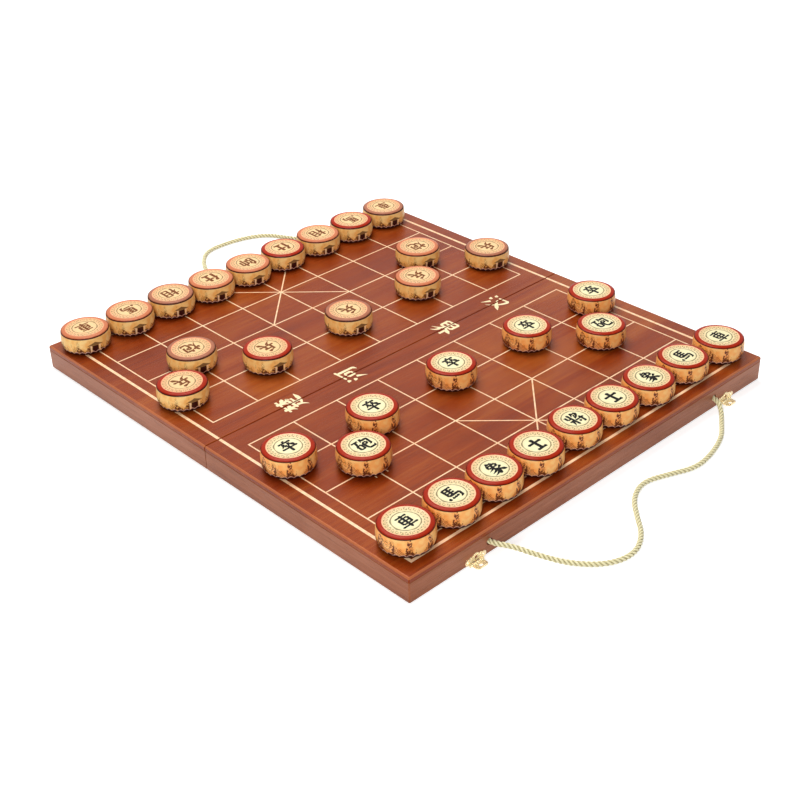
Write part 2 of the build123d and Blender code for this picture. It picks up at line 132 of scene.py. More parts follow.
def mix(tree, share, first, second):
    """From the first colour to the second as share goes from 0 to 1."""
    inputs = {0: share, 6: first, 7: second}
    return add_node(tree, "ShaderNodeMix", inputs, data_type="RGBA").outputs[2]


def own_place(tree):
    """The object's coordinates in metres."""
    return add_node(tree, "ShaderNodeTexCoord").outputs["Object"]


def start_material(name, roughness, colour=MIDDLE_GREY, **sockets):
    """A material, its tree and its shader, with plain values on the shader's own sockets."""
    material = bpy.data.materials.new(name)
    material.use_nodes = True
    shader = material.node_tree.nodes["Principled BSDF"]
    shader.inputs["Base Color"].default_value = colour
    shader.inputs["Roughness"].default_value = roughness
    for socket, value in sockets.items():
        shader.inputs[socket.replace("_", " ")].default_value = value
    return material, material.node_tree, shader


def paint(tree, shader, colour):
    """Gives the shader its colour."""
    tree.links.new(colour, shader.inputs["Base Color"])


def bump(tree, shader, height, distance):
    """Raises the surface by a height socket, in metres of distance."""
    node = add_node(tree, "ShaderNodeBump", {"Height": height, "Distance": distance})
    tree.links.new(node.outputs["Normal"], shader.inputs["Normal"])


# --- Meshes --------------------------------------------------------------------------
def grid_faces(rows, columns):
    """Quads of a tube whose rows are rings of so many columns."""
    row = np.arange(rows - 1)[:, None]
    column = np.arange(columns)[None, :]
    following = (column + 1) % columns
    near = row * columns
    far = (row + 1) * columns
    corners = [near + column, near + following, far + following, far + column]
    return np.stack(corners, axis=-1).reshape(-1, 4)


def new_piece(name, vertices, faces, material, smooth=True):
    """A mesh object at the origin from an array of points and a list of faces."""
    mesh = bpy.data.meshes.new(name)
    mesh.from_pydata(np.asarray(vertices).tolist(), [], [list(map(int, face)) for face in faces])
    mesh.polygons.foreach_set("use_smooth", np.full(len(mesh.polygons), smooth))
    mesh.materials.append(material)
    piece = bpy.data.objects.new(name, mesh)
    bpy.context.collection.objects.link(piece)
    return piece


def outward(mesh):
    """Points every face of a closed mesh outwards."""
    solid = bmesh.new()
    solid.from_mesh(mesh)
    bmesh.ops.recalc_face_normals(solid, faces=solid.faces)
    solid.to_mesh(mesh)
    solid.free()


def placed(vertices, turn, place, height):
    """Turns flat points about the upright by turn, gives them their height and moves them."""
    cos, sin = math.cos(turn), math.sin(turn)
    x = vertices[:, 0] * cos - vertices[:, 1] * sin + place[0]
    y = vertices[:, 0] * sin + vertices[:, 1] * cos + place[1]
    return np.column_stack([x, y, vertices[:, 2] * height + place[2]])


def coat(material, *nodes):
    """Gives CAD nodes their finish."""
    for node in nodes:
        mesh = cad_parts[node].data
        mesh.materials.clear()
        mesh.materials.append(material)


# --- Studio --------------------------------------------------------------------------
# A white table that runs on without an edge, a broad soft lamp overhead, a smaller one
# from the front left, and a long lens looking down over the near left corner.
CAMERA_PLACE = Vector((-0.7914, -0.8543, 0.6911))
CAMERA_TARGET = Vector((-0.0624, -0.0681, 0.0260))
CAMERA_ROLL = math.radians(-1.556)
LENS = 61.01
SENSOR_WIDTH = 36.0
AMBIENT = 0.30
TABLE_HALF = 6.0
TABLE_GREY = (0.80, 0.80, 0.80, 1.0)
TABLE_GLOW = 0.60


def seen_or_mirrored(tree):
    """1 where the camera looks, also by a shiny or clear surface; 0 for light on the object."""
    path = add_node(tree, "ShaderNodeLightPath").outputs
    direct = number(tree, "MAXIMUM", path["Is Camera Ray"], path["Is Glossy Ray"])
    return number(tree, "MAXIMUM", direct, path["Is Transmission Ray"])


def studio_world():
    """White all round, at full strength to the eye and dimmer as light."""
    world = bpy.data.worlds.new("studio")
    world.use_nodes = True
    tree = world.node_tree
    background = tree.nodes["Background"].inputs
    spare = product(tree, seen_or_mirrored(tree), 1.0 - AMBIENT)
    tree.links.new(number(tree, "ADD", spare, AMBIENT), background["Strength"])
    background["Color"].default_value = WHITE
    bpy.context.scene.world = world


def white_table():
    """Flat square under the case; its own faint glow for the camera takes it to white."""
    mesh = bpy.data.meshes.new("studio_table")
    signs = ((-1, -1), (1, -1), (1, 1), (-1, 1))
    mesh.from_pydata([(x * TABLE_HALF, y * TABLE_HALF, 0.0) for x, y in signs], [], [(0, 1, 2, 3)])
    material, tree, shader = start_material("studio_white", 0.9, TABLE_GREY, Specular_IOR_Level=0.0)
    shader.inputs["Emission Color"].default_value = WHITE
    glow = product(tree, seen_or_mirrored(tree), TABLE_GLOW)
    tree.links.new(glow, shader.inputs["Emission Strength"])
    mesh.materials.append(material)
    table = bpy.data.objects.new("studio_table", mesh)
    bpy.context.collection.objects.link(table)


def soft_lamp(name, place, size, watts):
    """A round area lamp aimed at the origin."""
    lamp = bpy.data.lights.new(name, "AREA")
    lamp.shape = "DISK"
    lamp.size = size
    lamp.energy = watts
    holder = bpy.data.objects.new(name, lamp)
    holder.location = place
    holder.rotation_euler = (-Vector(place)).to_track_quat("-Z", "Y").to_euler()
    bpy.context.collection.objects.link(holder)


def studio_camera():
    """A long lens aimed at the target, rolled a little about its own axis."""
    lens = bpy.data.cameras.new("camera")
    lens.lens = LENS
    lens.sensor_width = SENSOR_WIDTH
    camera = bpy.data.objects.new("camera", lens)
    camera.rotation_mode = "QUATERNION"
    camera.location = CAMERA_PLACE
    aim = (CAMERA_TARGET - CAMERA_PLACE).to_track_quat("-Z", "Y")
    camera.rotation_quaternion = aim @ Quaternion((0.0, 0.0, 1.0), CAMERA_ROLL)
    bpy.context.collection.objects.link(camera)
    bpy.context.scene.camera = camera


studio_world()
white_table()
soft_lamp("lamp_overhead", (0.2, 0.6, 1.6), size=1.1, watts=25.0)
soft_lamp("lamp_front_left", (-1.4, -1.1, 0.9), size=0.7, watts=17.0)
studio_camera()
bpy.context.scene.view_settings.view_transform = "Standard"


# --- Rope handles --------------------------------------------------------------------
# Each half is carried by a 5 mm cotton cord of three twisted strands. It goes through two
# holes in the end wall, is knotted inside, and lies slack on the table.
ROPE_DIAMETER = 0.005
ROPE_LEFT = -147.0
ROPE_RIGHT = 162.0
ROPE_HOLE_HEIGHT = 12.5
ROPE_SEAT = 252.5
ROPE_LYING = 2.5
ROPE_RING_STEP = 0.0008
ROPE_RING_POINTS = 30
STRANDS = 3
STRAND_SHARE = 0.5  # a strand's radius as a share of the cord's
STRAND_LAY = 0.0125  # length of one full twist
YARN_PITCH = 0.0011
ROPE_CREAM = (1.00, 0.93, 0.58, 1.0)
ROPE_SHADE = (0.40, 0.31, 0.09, 1.0)

near_rope_route = [
    (ROPE_LEFT, -ROPE_SEAT, ROPE_HOLE_HEIGHT),
    (ROPE_LEFT, -265, ROPE_HOLE_HEIGHT),
    (-139, -278, ROPE_HOLE_HEIGHT),
    (-127, -297, 6.5),
    (-113, -319, ROPE_LYING),
    (-93, -341, ROPE_LYING),
    (-67, -348, ROPE_LYING),
    (-43, -337, ROPE_LYING),
    (-25, -317, ROPE_LYING),
    (-7, -299, ROPE_LYING),
    (17, -290, ROPE_LYING),
    (42, -299, ROPE_LYING),
    (68, -310.5, ROPE_LYING),
    (97, -307, ROPE_LYING),
    (125, -297.5, ROPE_LYING),
    (143, -284.5, ROPE_LYING),
    (156, -275, 6.3),
    (ROPE_RIGHT, -265, ROPE_HOLE_HEIGHT),
    (ROPE_RIGHT, -ROPE_SEAT, ROPE_HOLE_HEIGHT),
]
far_rope_route = [
    (ROPE_LEFT, ROPE_SEAT, ROPE_HOLE_HEIGHT),
    (ROPE_LEFT, 266, ROPE_HOLE_HEIGHT),
    (-137, 279, 8),
    (-116, 284, ROPE_LYING),
    (-88, 282, ROPE_LYING),
    (-58, 284, ROPE_LYING),
    (-28, 293, ROPE_LYING),
    (-2, 312, ROPE_LYING),
    (11, 340, ROPE_LYING),
    (32, 363, ROPE_LYING),
    (62, 365, ROPE_LYING),
    (92, 359, ROPE_LYING),
    (114, 346, ROPE_LYING),
    (125, 322, ROPE_LYING),
    (138, 302, ROPE_LYING),
    (153, 283, 5),
    (ROPE_RIGHT, 268, ROPE_HOLE_HEIGHT),
    (ROPE_RIGHT, ROPE_SEAT, ROPE_HOLE_HEIGHT),
]


def cord_line(route):
    """Points in metres along the smooth NURBS line with the route, in mm, for its control points."""
    curve = bpy.data.curves.new("cord_line", "CURVE")
    curve.dimensions = "3D"
    curve.resolution_u = 24
    spline = curve.splines.new("NURBS")
    spline.points.add(len(route) - 1)
    for point, (x, y, z) in zip(spline.points, route):
        point.co = (x * MM, y * MM, z * MM, 1.0)
    spline.order_u = 3
    spline.use_endpoint_u = True
    holder = bpy.data.objects.new("cord_line", curve)
    line = bpy.data.meshes.new_from_object(holder)
    points = np.empty(len(line.vertices) * 3)
    line.vertices.foreach_get("co", points)
    bpy.data.meshes.remove(line)
    bpy.data.objects.remove(holder)
    bpy.data.curves.remove(curve)
    return points.reshape(-1, 3)


def evenly_along(points, step):
    """The same line with points every step of its length."""
    lengths = np.concatenate([[0.0], np.cumsum(np.linalg.norm(np.diff(points, axis=0), axis=1))])
    count = int(round(lengths[-1] / step)) + 1
    places = np.linspace(0.0, lengths[-1], count)
    even = np.stack([np.interp(places, lengths, points[:, axis]) for axis in range(3)], axis=1)
    return even, lengths[-1]


def side_vectors(points):
    """Two unit vectors square to the line at each point, carried along it without twist."""
    along = np.gradient(points, axis=0)
    along /= np.linalg.norm(along, axis=1)[:, None]
    side = np.empty_like(along)
    side[0] = np.cross(along[0], (0.0, 0.0, 1.0))
    side[0] /= np.linalg.norm(side[0])
    for row in range(1, len(along)):
        carried = side[row - 1] - along[row] * np.dot(side[row - 1], along[row])
        side[row] = carried / np.linalg.norm(carried)
    return side, np.cross(along, side)


def twisted_cotton():
    """Pale gold cotton: painted shade between the strands, with fine yarns running across each
    strand.
    """
    material, tree, shader = start_material("twisted_cotton", 0.75, Sheen_Weight=0.35,
                                            Sheen_Roughness=0.5)
    strand = add_node(tree, "ShaderNodeUVMap", uv_map="strand").outputs["UV"]
    parts = add_node(tree, "ShaderNodeSeparateXYZ", {0: strand}).outputs
    valley = number(tree, "POWER", parts["X"], 2.2)
    wave = {"Vector": strand, "Scale": 1.0, "Distortion": 1.5, "Detail": 2.0}
    yarns = add_node(tree, "ShaderNodeTexWave", wave, bands_direction="Y").outputs["Fac"]
    fuzz = noise(tree, 900.0, 3.0)
    # Painted shade in the valleys between the strands, with the yarn lines added on top.
    groove_shade_and_yarns = product(tree, valley, 1.1)
    groove_shade_and_yarns = number(tree, "ADD", groove_shade_and_yarns, product(tree, yarns, 0.16), clamp=True)
    paint(tree, shader, mix(tree, groove_shade_and_yarns, ROPE_CREAM, ROPE_SHADE))
    height = number(tree, "SUBTRACT", product(tree, fuzz, 0.5), yarns)
    bump(tree, shader, height, 0.00012)
    return material


def knot_cotton():
    """The same cotton, pulled tight: strand grooves slant round the knot, with painted shade in
    them.
    """
    material, tree, shader = start_material("knotted_cotton", 0.8, Sheen_Weight=0.3)
    slant = {"Vector": own_place(tree), "Rotation": (0.6, 0.3, 0.5)}
    turned = add_node(tree, "ShaderNodeMapping", slant).outputs["Vector"]
    wave = {"Vector": turned, "Scale": 130.0, "Distortion": 2.0}
    strands = add_node(tree, "ShaderNodeTexWave", wave).outputs["Fac"]
    # The grooves between the strands are painted in ROPE_SHADE as shade.
    paint(tree, shader, mix(tree, strands, ROPE_SHADE, ROPE_CREAM))
    bump(tree, shader, strands, 0.0006)
    return material


def handle_rope(half, route, material):
    """Tube along the line whose section is three touching round strands that turn once in a lay.
    Away from a strand's crown by an angle a, the radius is b cos a + sqrt(s^2 - b^2 sin^2 a)."""
    points, length = evenly_along(cord_line(route), ROPE_RING_STEP)
    side, over = side_vectors(points)
    rows = len(points)
    around = np.arange(ROPE_RING_POINTS) / ROPE_RING_POINTS * 2 * math.pi
    travelled = np.arange(rows) * ROPE_RING_STEP
    twist = travelled / STRAND_LAY * 2 * math.pi
    third = 2 * math.pi / STRANDS
    away = (around[None, :] - twist[:, None] + third / 2) % third - third / 2
    radius = ROPE_DIAMETER / 2
    strand = STRAND_SHARE * radius
    centre = radius - strand
    reach = centre * np.cos(away) + np.sqrt(strand**2 - (centre * np.sin(away)) ** 2)
    sideways = (reach * np.cos(around))[..., None] * side[:, None, :]
    upwards = (reach * np.sin(around))[..., None] * over[:, None, :]
    vertices = (points[:, None, :] + (sideways + upwards)).reshape(-1, 3)
    faces = grid_faces(rows, ROPE_RING_POINTS).tolist()
    faces.append(list(range(ROPE_RING_POINTS))[::-1])
    faces.append(list(range((rows - 1) * ROPE_RING_POINTS, rows * ROPE_RING_POINTS)))
    rope = new_piece(f"{half}_twisted_rope", vertices, faces, material)
    valley = np.abs(away) / (third / 2)
    yarn = away / third * 2.0 + travelled[:, None] / YARN_PITCH
    per_vertex = np.stack([valley, yarn], axis=-1).reshape(-1, 2)
    corner = np.empty(len(rope.data.loops), dtype=np.int32)
    rope.data.loops.foreach_get("vertex_index", corner)
    layer = rope.data.uv_layers.new(name="strand")
    layer.data.foreach_set("uv", per_vertex[corner].ravel())
    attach(rope, f"{half}_half")
    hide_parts(f"{half}_handle_rope")


cotton = twisted_cotton()
handle_rope("near", near_rope_route, cotton)
handle_rope("far", far_rope_route, cotton)
coat(knot_cotton(), "near_rope_knots", "far_rope_knots")


# --- Mahogany case -------------------------------------------------------------------
# Two trays of red-brown mahogany, each a five millimetre panel on four mitred rails, stained
# and finished in clear gloss lacquer. The grain runs along each rail and along the seam.
LACQUER_WARMTH = (1.0, 0.22, 0.02, 1.0)
TOP_WOOD = ((0.145, 0.013, 0.001, 1.0), (0.225, 0.029, 0.001, 1.0), (0.320, 0.070, 0.009, 1.0))
RAIL_WOOD = ((0.165, 0.042, 0.014, 1.0), (0.300, 0.100, 0.045, 1.0), (0.390, 0.155, 0.084, 1.0))
# Colour of the highlight painted on the case's rounded upper edge.
EDGE_HIGHLIGHT = (0.560, 0.190, 0.080, 1.0)
RED_STREAK = (0.210, 0.026, 0.001, 1.0)
ORANGE_STREAK = (0.360, 0.100, 0.018, 1.0)
PORE_BROWN = (0.050, 0.008, 0.002, 1.0)
EDGE_ROUND = 0.0016


def edge_highlight(tree, place):
    """1 on the rounded upper edge of the case, where a highlight is painted, and 0 elsewhere."""
    parts = add_node(tree, "ShaderNodeSeparateXYZ", {0: place}).outputs
    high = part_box("far_playing_panel")[1]
    x_size = number(tree, "ABSOLUTE", parts["X"])
    y_size = number(tree, "ABSOLUTE", parts["Y"])
    sides = number(tree, "GREATER_THAN", x_size, high[0] - EDGE_ROUND)
    ends = number(tree, "GREATER_THAN", y_size, high[1] - EDGE_ROUND)
    upper = number(tree, "GREATER_THAN", parts["Z"], high[2] - EDGE_ROUND)
    return product(tree, number(tree, "MAXIMUM", sides, ends), upper)


def mahogany(name, along, shades):
    """Lacquered mahogany whose grain runs along X or Y, in three shades from dark to light."""
    material, tree, shader = start_material(name, 0.15, Specular_IOR_Level=0.5,
                                            Specular_Tint=LACQUER_WARMTH, Coat_Weight=0.04,
                                            Coat_Roughness=0.10)
    place = own_place(tree)

    def grain(long, across, detail, distortion=0.0):
        scale = (long, across, across) if along == "X" else (across, long, across)
        return stretched_noise(tree, place, scale, detail, distortion)

    figure = grain(3.5, 26.0, 5.0, 0.8)
    streaks = grain(9.0, 380.0, 7.0)
    pores = grain(70.0, 2200.0, 2.0)
    clouds = stretched_noise(tree, place, (6.5, 9.0, 6.5), 2.0, 0.4)
    share = weighted(tree, (figure, 0.38), (streaks, 0.30), (clouds, 0.32))
    colour = ramp(tree, share, list(zip((0.38, 0.50, 0.62), shades)))
    reds = grain(5.0, 60.0, 4.0, 0.6)
    red = excess(tree, reds, 0.52, 3.2)
    colour = mix(tree, product(tree, red, 0.28), colour, RED_STREAK)
    orange = excess(tree, 0.47, reds, 3.0)
    colour = mix(tree, product(tree, orange, 0.45), colour, ORANGE_STREAK)
    pore = excess(tree, pores, 0.56, 9.0)
    colour = mix(tree, product(tree, pore, 0.45), colour, PORE_BROWN)
    # The rounded upper edge is painted lighter here, as a highlight.
    wear_and_highlight = product(tree, edge_highlight(tree, place), 0.6)
    paint(tree, shader, mix(tree, wear_and_highlight, colour, EDGE_HIGHLIGHT))
    rough = number(tree, "MULTIPLY_ADD", streaks, 0.18, 0.26)
    tree.links.new(rough, shader.inputs["Roughness"])
    bump(tree, shader, number(tree, "SUBTRACT", streaks, pore), 0.00004)
    return material


panel_wood = mahogany("mahogany_panel", "X", TOP_WOOD)
end_wood = mahogany("mahogany_end_rail", "X", RAIL_WOOD)
side_wood = mahogany("mahogany_side_rail", "Y", RAIL_WOOD)
for half in ("near", "far"):
    coat(panel_wood, f"{half}_playing_panel")
    coat(end_wood, f"{half}_front_rail", f"{half}_seam_rail")
    coat(side_wood, f"{half}_left_rail", f"{half}_right_rail")


# --- Felt lining ---------------------------------------------------------------------
# Thin green felt glued under each panel, so that the pieces lie quietly in the shut case.
FELT_DEEP = (0.010, 0.045, 0.022, 1.0)
FELT_GREEN = (0.035, 0.130, 0.065, 1.0)


def green_felt():
    """Matted wool: short fibres over softer clumps."""
    material, tree, shader = start_material("green_felt", 0.95, Sheen_Weight=0.5,
                                            Sheen_Roughness=0.4)
    fibres = noise(tree, 700.0, 6.0, Roughness=0.8)
    share = weighted(tree, (fibres, 0.6), (noise(tree, 60.0, 3.0), 0.4))
    paint(tree, shader, ramp(tree, share, [(0.35, FELT_DEEP), (0.65, FELT_GREEN)]))
    bump(tree, shader, fibres, 0.0003)
    return material


coat(green_felt(), "near_felt_lining", "far_felt_lining")


# --- Inlaid lines --------------------------------------------------------------------
# Strips of pale peach wood let into the panel and lacquered over with it.
INLAY_PALE = (0.96, 0.68, 0.42, 1.0)
INLAY_WARM = (0.88, 0.50, 0.27, 1.0)


def pale_inlay(name, pale, warm):
    """Fine-grained pale wood, from pale to warm along its grain."""
    material, tree, shader = start_material(name, 0.35, Specular_IOR_Level=0.3)
    grain = stretched_noise(tree, own_place(tree), (60.0, 260.0, 260.0), 4.0)
    paint(tree, shader, ramp(tree, grain, [(0.4, pale), (0.68, warm)]))
    return material


coat(pale_inlay("pale_inlay", INLAY_PALE, INLAY_WARM), "near_inlay_lines", "far_inlay_lines")


# --- Brass hardware ------------------------------------------------------------------
# Hinges, latches, catches and screws: thin stamped brass, brightly plated, with a fine
# beaded ornament pressed into the latch plates.
BRASS_BRIGHT = (1.00, 0.92, 0.68, 1.0)
BRASS_WORN = (0.90, 0.66, 0.30, 1.0)
BEAD_DEPTH = 0.00018
TARNISH_DEPTH = 0.00004


def brass(name, stamped):
    """Plated brass, duller where it has tarnished, beaded if stamped."""
    material, tree, shader = start_material(name, 0.25, BRASS_BRIGHT, Metallic=1.0)
    tarnish = noise(tree, 220.0, 4.0)
    paint(tree, shader, ramp(tree, tarnish, [(0.38, BRASS_WORN), (0.58, BRASS_BRIGHT)]))
    rough = number(tree, "MULTIPLY_ADD", tarnish, 0.3, 0.10)
    tree.links.new(rough, shader.inputs["Roughness"])
    if stamped:
        beads = add_node(tree, "ShaderNodeTexVoronoi", {"Scale": 620.0}).outputs["Distance"]
        bump(tree, shader, beads, BEAD_DEPTH)
    else:
        bump(tree, shader, tarnish, TARNISH_DEPTH)
    return material


plain_brass = brass("plain_brass", False)
stamped_brass = brass("stamped_brass", True)
coat(stamped_brass, "latch_plates", "latch_hasp_left", "latch_hasp_right", "catch_plates")
coat(plain_brass, "hinge_leaves_near", "hinge_leaves_far", "hinge_pins", "latch_pins",
     "near_brass_screws", "far_brass_screws")


# --- Brush characters ----------------------------------------------------------------
# The game's characters, written with a brush: on the pieces in ink, and across the river as
# pale inlay. A stroke is a kind and its points on a square of 100, read rightwards and down.
# Kinds: h level, v upright, k with a hook at its end, p swept to a point, n pressed, d dot.
BRUSH = {
    "chariot":
        "h 18,15 82,13; v 25,30 26,68; h 25,30 75,29; v 75,29 74,68; h 26,49 74,48; h 26,67 74,66;"
        "h 6,83 94,80; v 50,3 50,99",
    "horse":
        "v 24,8 24,62; h 24,9 76,7; h 24,26 70,25; h 24,43 70,42; v 49,9 49,60;"
        "k 24,61 86,58 82,88 68,95; d 14,72 9,90; d 31,73 35,87; d 46,72 51,85; d 60,70 66,82",
    "elephant":
        "p 42,1 34,11 22,20; h 32,12 62,10; p 62,10 56,17 50,22; v 24,24 26,42; h 24,24 76,22;"
        "v 76,23 73,41; h 26,41 73,40; v 50,23 49,41; p 50,41 36,52 10,61;"
        "k 40,50 56,62 60,80 52,96 40,90; p 52,62 34,73 12,80; p 57,74 38,88 12,97;"
        "p 86,47 74,56 62,62; n 60,58 74,74 96,89",
    "black_advisor": "h 8,38 92,35; v 50,6 50,88; h 20,89 80,87",
    "black_general":
        "v 12,14 12,40; h 12,40 34,40; h 6,60 34,58; p 20,60 17,78 8,94; v 34,4 34,98;"
        "p 62,3 54,18 44,30; h 58,14 84,13; p 84,13 72,36 46,52; d 60,24 66,32; d 55,36 61,43;"
        "h 42,62 96,59; k 79,44 79,90 68,96; d 54,71 62,83",
    "black_cannon":
        "h 4,14 44,12; p 26,14 20,40 4,60; v 15,46 15,82; h 15,46 39,45; v 39,45 38,80;"
        "h 15,80 38,79; p 62,3 56,18 48,32; k 58,20 92,18 89,62 78,70; h 54,38 74,37;"
        "v 74,37 73,54; h 54,54 73,53; k 53,38 53,80 60,92 92,90 95,74",
    "black_soldier":
        "d 46,1 54,11; h 14,18 86,16; p 36,24 30,40 14,54; d 35,36 46,49; p 66,24 60,40 50,53;"
        "n 66,34 74,44 88,54; h 6,66 94,63; v 50,46 50,99",
    "red_elephant":
        "h 5,30 47,28; v 27,3 27,98; p 27,32 20,55 4,74; d 30,42 42,58; v 57,12 58,92;"
        "h 57,12 91,11; v 91,11 90,92; h 58,38 90,37; h 58,62 90,61; h 58,88 90,87",
    "red_advisor": "p 32,3 22,28 4,52; v 22,34 22,98; h 36,38 96,35; v 66,6 66,86; h 42,88 90,86",
    "red_general":
        "p 28,1 24,8 18,15; v 14,16 14,90; h 14,17 38,16; v 38,16 37,44; h 14,45 37,44;"
        "h 14,61 40,60; v 40,60 39,88; h 14,88 39,87; v 54,28 55,80; k 54,28 95,26 92,74 82,72;"
        "v 74,3 74,99",
    "red_cannon":
        "d 9,24 16,44; p 44,20 38,32 33,38; p 26,3 26,50 4,94; n 26,54 34,72 46,86;"
        "p 64,3 58,18 50,32; k 60,20 93,18 90,62 80,70; h 56,38 75,37; v 75,37 74,54;"
        "h 56,54 74,53; k 55,38 55,80 62,92 92,90 95,74",
    "red_soldier":
        "p 66,1 48,10 26,15; v 28,13 28,60; h 28,33 78,30; v 61,32 61,60; h 5,62 95,59;"
        "p 38,68 30,82 10,97; n 60,67 74,80 92,95",
    "river_chu":
        "h 6,16 44,15; v 26,2 26,48; p 26,18 18,34 4,44; d 29,20 42,38; h 54,15 94,13;"
        "v 73,2 73,48; p 72,18 64,34 52,44; n 74,18 82,32 97,42; k 16,55 84,52 76,64;"
        "v 50,54 50,86; h 50,70 78,69; p 30,62 24,82 6,98; n 26,78 50,92 96,96",
    "river_he":
        "d 10,8 22,20; d 4,34 16,46; p 26,58 18,74 6,94; h 32,16 98,13; k 82,15 82,88 66,96;"
        "v 42,36 43,66; h 42,36 66,35; v 66,35 65,64; h 43,65 65,64",
    "river_jie":
        "v 22,4 23,47; h 22,5 78,3; v 78,4 77,46; h 23,25 77,24; h 23,46 77,45; v 50,4 50,46;"
        "p 48,47 34,64 4,78; n 52,47 68,62 97,75; p 38,66 34,84 16,98; v 65,65 65,99",
    "river_han":
        "d 10,8 22,20; d 4,34 16,46; p 26,58 18,74 6,94; h 36,20 84,17; p 84,17 70,60 30,96;"
        "n 42,34 62,64 98,95",
}
STROKE_POINTS = 14
STROKE_WEIGHT = {"h": 10.0, "v": 12.5, "k": 11.5, "p": 12.5, "n": 13.5, "d": 14.0}
STROKE_SWELL = {
    "h": ((0, 1.15), (0.15, 0.85), (0.8, 0.8), (1, 1.35)),
    "v": ((0, 1.2), (0.2, 0.9), (0.8, 0.9), (1, 1.05)),
    "k": ((0, 1.1), (0.6, 0.95), (0.85, 1.05), (1, 0.15)),
    "p": ((0, 1.15), (0.4, 0.85), (1, 0.12)),
    "n": ((0, 0.35), (0.75, 1.25), (1, 0.2)),
    "d": ((0, 0.25), (0.65, 1.2), (1, 0.6)),
}
ROUNDED_END = 0.09  # share of a stroke over which each end is rounded
SLAB_STEP = 0.01  # how much lower each stroke's slab ends than the one before


def stroke_outline(kind, text):
    """Left and right edges of one brush stroke: its middle line, eased through its points and set
    off square to itself by half the brush's width there, with both ends rounded."""
    points = np.array([[float(n) for n in pair.split(",")] for pair in text.split()])
    steps = np.linalg.norm(np.diff(points, axis=0), axis=1)
    lengths = np.concatenate([[0.0], np.cumsum(steps)])
    share = np.linspace(0.0, 1.0, STROKE_POINTS)
    if kind == "k" or len(points) == 2:
        reached = share * lengths[-1]
        middle = np.stack([np.interp(reached, lengths, points[:, axis]) for axis in (0, 1)], axis=1)
    else:
        bend = 2 * points[1] - (points[0] + points[-1]) / 2
        middle = ((1 - share) ** 2)[:, None] * points[0] + (2 * share * (1 - share))[:, None] * bend
        middle = middle + (share**2)[:, None] * points[-1]
    along = np.gradient(middle, axis=0)
    along /= np.linalg.norm(along, axis=1)[:, None]
    square = np.stack([-along[:, 1], along[:, 0]], axis=1)
    places, swells = zip(*STROKE_SWELL[kind])
    end = np.minimum(share, 1 - share) / ROUNDED_END
    rounding = 0.45 + 0.55 * np.sqrt(1 - (1 - np.clip(end, 0, 1)) ** 2)
    half = STROKE_WEIGHT[kind] / 2 * np.interp(share, places, swells) * rounding
    return middle - square * half[:, None], middle + square * half[:, None]


def brush_mesh(character, size, boldness):
    """Vertices and faces of a character as thin closed slabs, one to a stroke, centred on zero, a
    unit high in z. Every slab is a section of four corners carried along the stroke."""
    vertices, faces, start = [], [], 0
    for order, stroke in enumerate(BRUSH[character].split(";")):
        kind, text = stroke.strip().split(" ", 1)
        left, right = stroke_outline(kind, text)
        centre = (left + right) / 2
        left = centre + (left - centre) * boldness
        right = centre + (right - centre) * boldness
        top = 1.0 - SLAB_STEP * order
        rings = []
        for edge, z in ((left, 0.0), (left, top), (right, top), (right, 0.0)):
            x, y = (edge[:, 0] - 50) / 100, (50 - edge[:, 1]) / 100
            rings.append(np.column_stack([x, y, np.full(len(edge), z)]))
        vertices.append(np.stack(rings, axis=1).reshape(-1, 3) * (size, size, 1.0))
        faces.extend((grid_faces(len(left), 4) + start).tolist())
        faces.append([start + corner for corner in (3, 2, 1, 0)])
        last = start + (len(left) - 1) * 4
        faces.append([last + corner for corner in (0, 1, 2, 3)])
        start += len(left) * 4
    return np.concatenate(vertices), faces


# The river's four characters lie across the seam, so each is cut in two where the case folds.
RIVER_SIZE = 0.0265
RIVER_SINK = 0.0001
RIVER_PROUD = 0.00006
RIVER_CUT = 0.0008
RIVER_BOLDNESS = 1.0
RIVER_PALE = (0.97, 0.83, 0.50, 1.0)
RIVER_WARM = (0.93, 0.72, 0.42, 1.0)
RIVER_PLACES = {
    "river_chu": (-0.1375, math.pi / 2),
    "river_he": (-0.0633, math.pi / 2),
    "river_jie": (0.0660, -math.pi / 2),
    "river_han": (0.1426, -math.pi / 2),
}
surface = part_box("near_playing_panel")[1][2]
river_inlay = pale_inlay("river_inlay", RIVER_PALE, RIVER_WARM)


def river_half(character, half, side):
    """One half's share of a river character, cut off at the seam's edge and closed there."""
    x, turn = RIVER_PLACES[character]
    vertices, faces = brush_mesh(character, RIVER_SIZE, RIVER_BOLDNESS)
    vertices = placed(vertices, turn, (x, 0.0, surface - RIVER_SINK), RIVER_SINK + RIVER_PROUD)
    piece = new_piece(f"{half}_{character}", vertices, faces, river_inlay, smooth=False)
    solid = bmesh.new()
    solid.from_mesh(piece.data)
    everything = solid.verts[:] + solid.edges[:] + solid.faces[:]
    bmesh.ops.bisect_plane(solid, geom=everything, plane_co=(0, side * RIVER_CUT, 0),
                           plane_no=(0, side, 0), clear_inner=True)
    bmesh.ops.holes_fill(solid, edges=solid.edges[:])
    bmesh.ops.recalc_face_normals(solid, faces=solid.faces)
    solid.to_mesh(piece.data)
    solid.free()
    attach(piece, f"{half}_half")


for character in RIVER_PLACES:
    river_half(character, "near", -1)
    river_half(character, "far", 1)


# --- Pieces --------------------------------------------------------------------------
# Each piece is turned from one wood block: a narrow foot, a full belly, a fine groove, a
# painted rim and a sunk face. The belly carries a printed landscape in browns over gold,
# the face a fret ring round the character, and all of it is under satin lacquer. Sizes here
# are in millimetres.
BELLY_RADIUS = 24.8
FOOT_RADIUS = 22.0
HEEL = (22.7, 0.7)
BELLY_HEIGHT = 9.0
SHOULDER = (23.9, 18.5)
GROOVE_RADIUS = 23.3
GROOVE_TOP = 18.8
RIM_START = 23.6
FACE_RADIUS = 19.5
PIECE_HEIGHT = 20.0
FACE_HEIGHT = 19.7
PIECE_SEGMENTS = 112


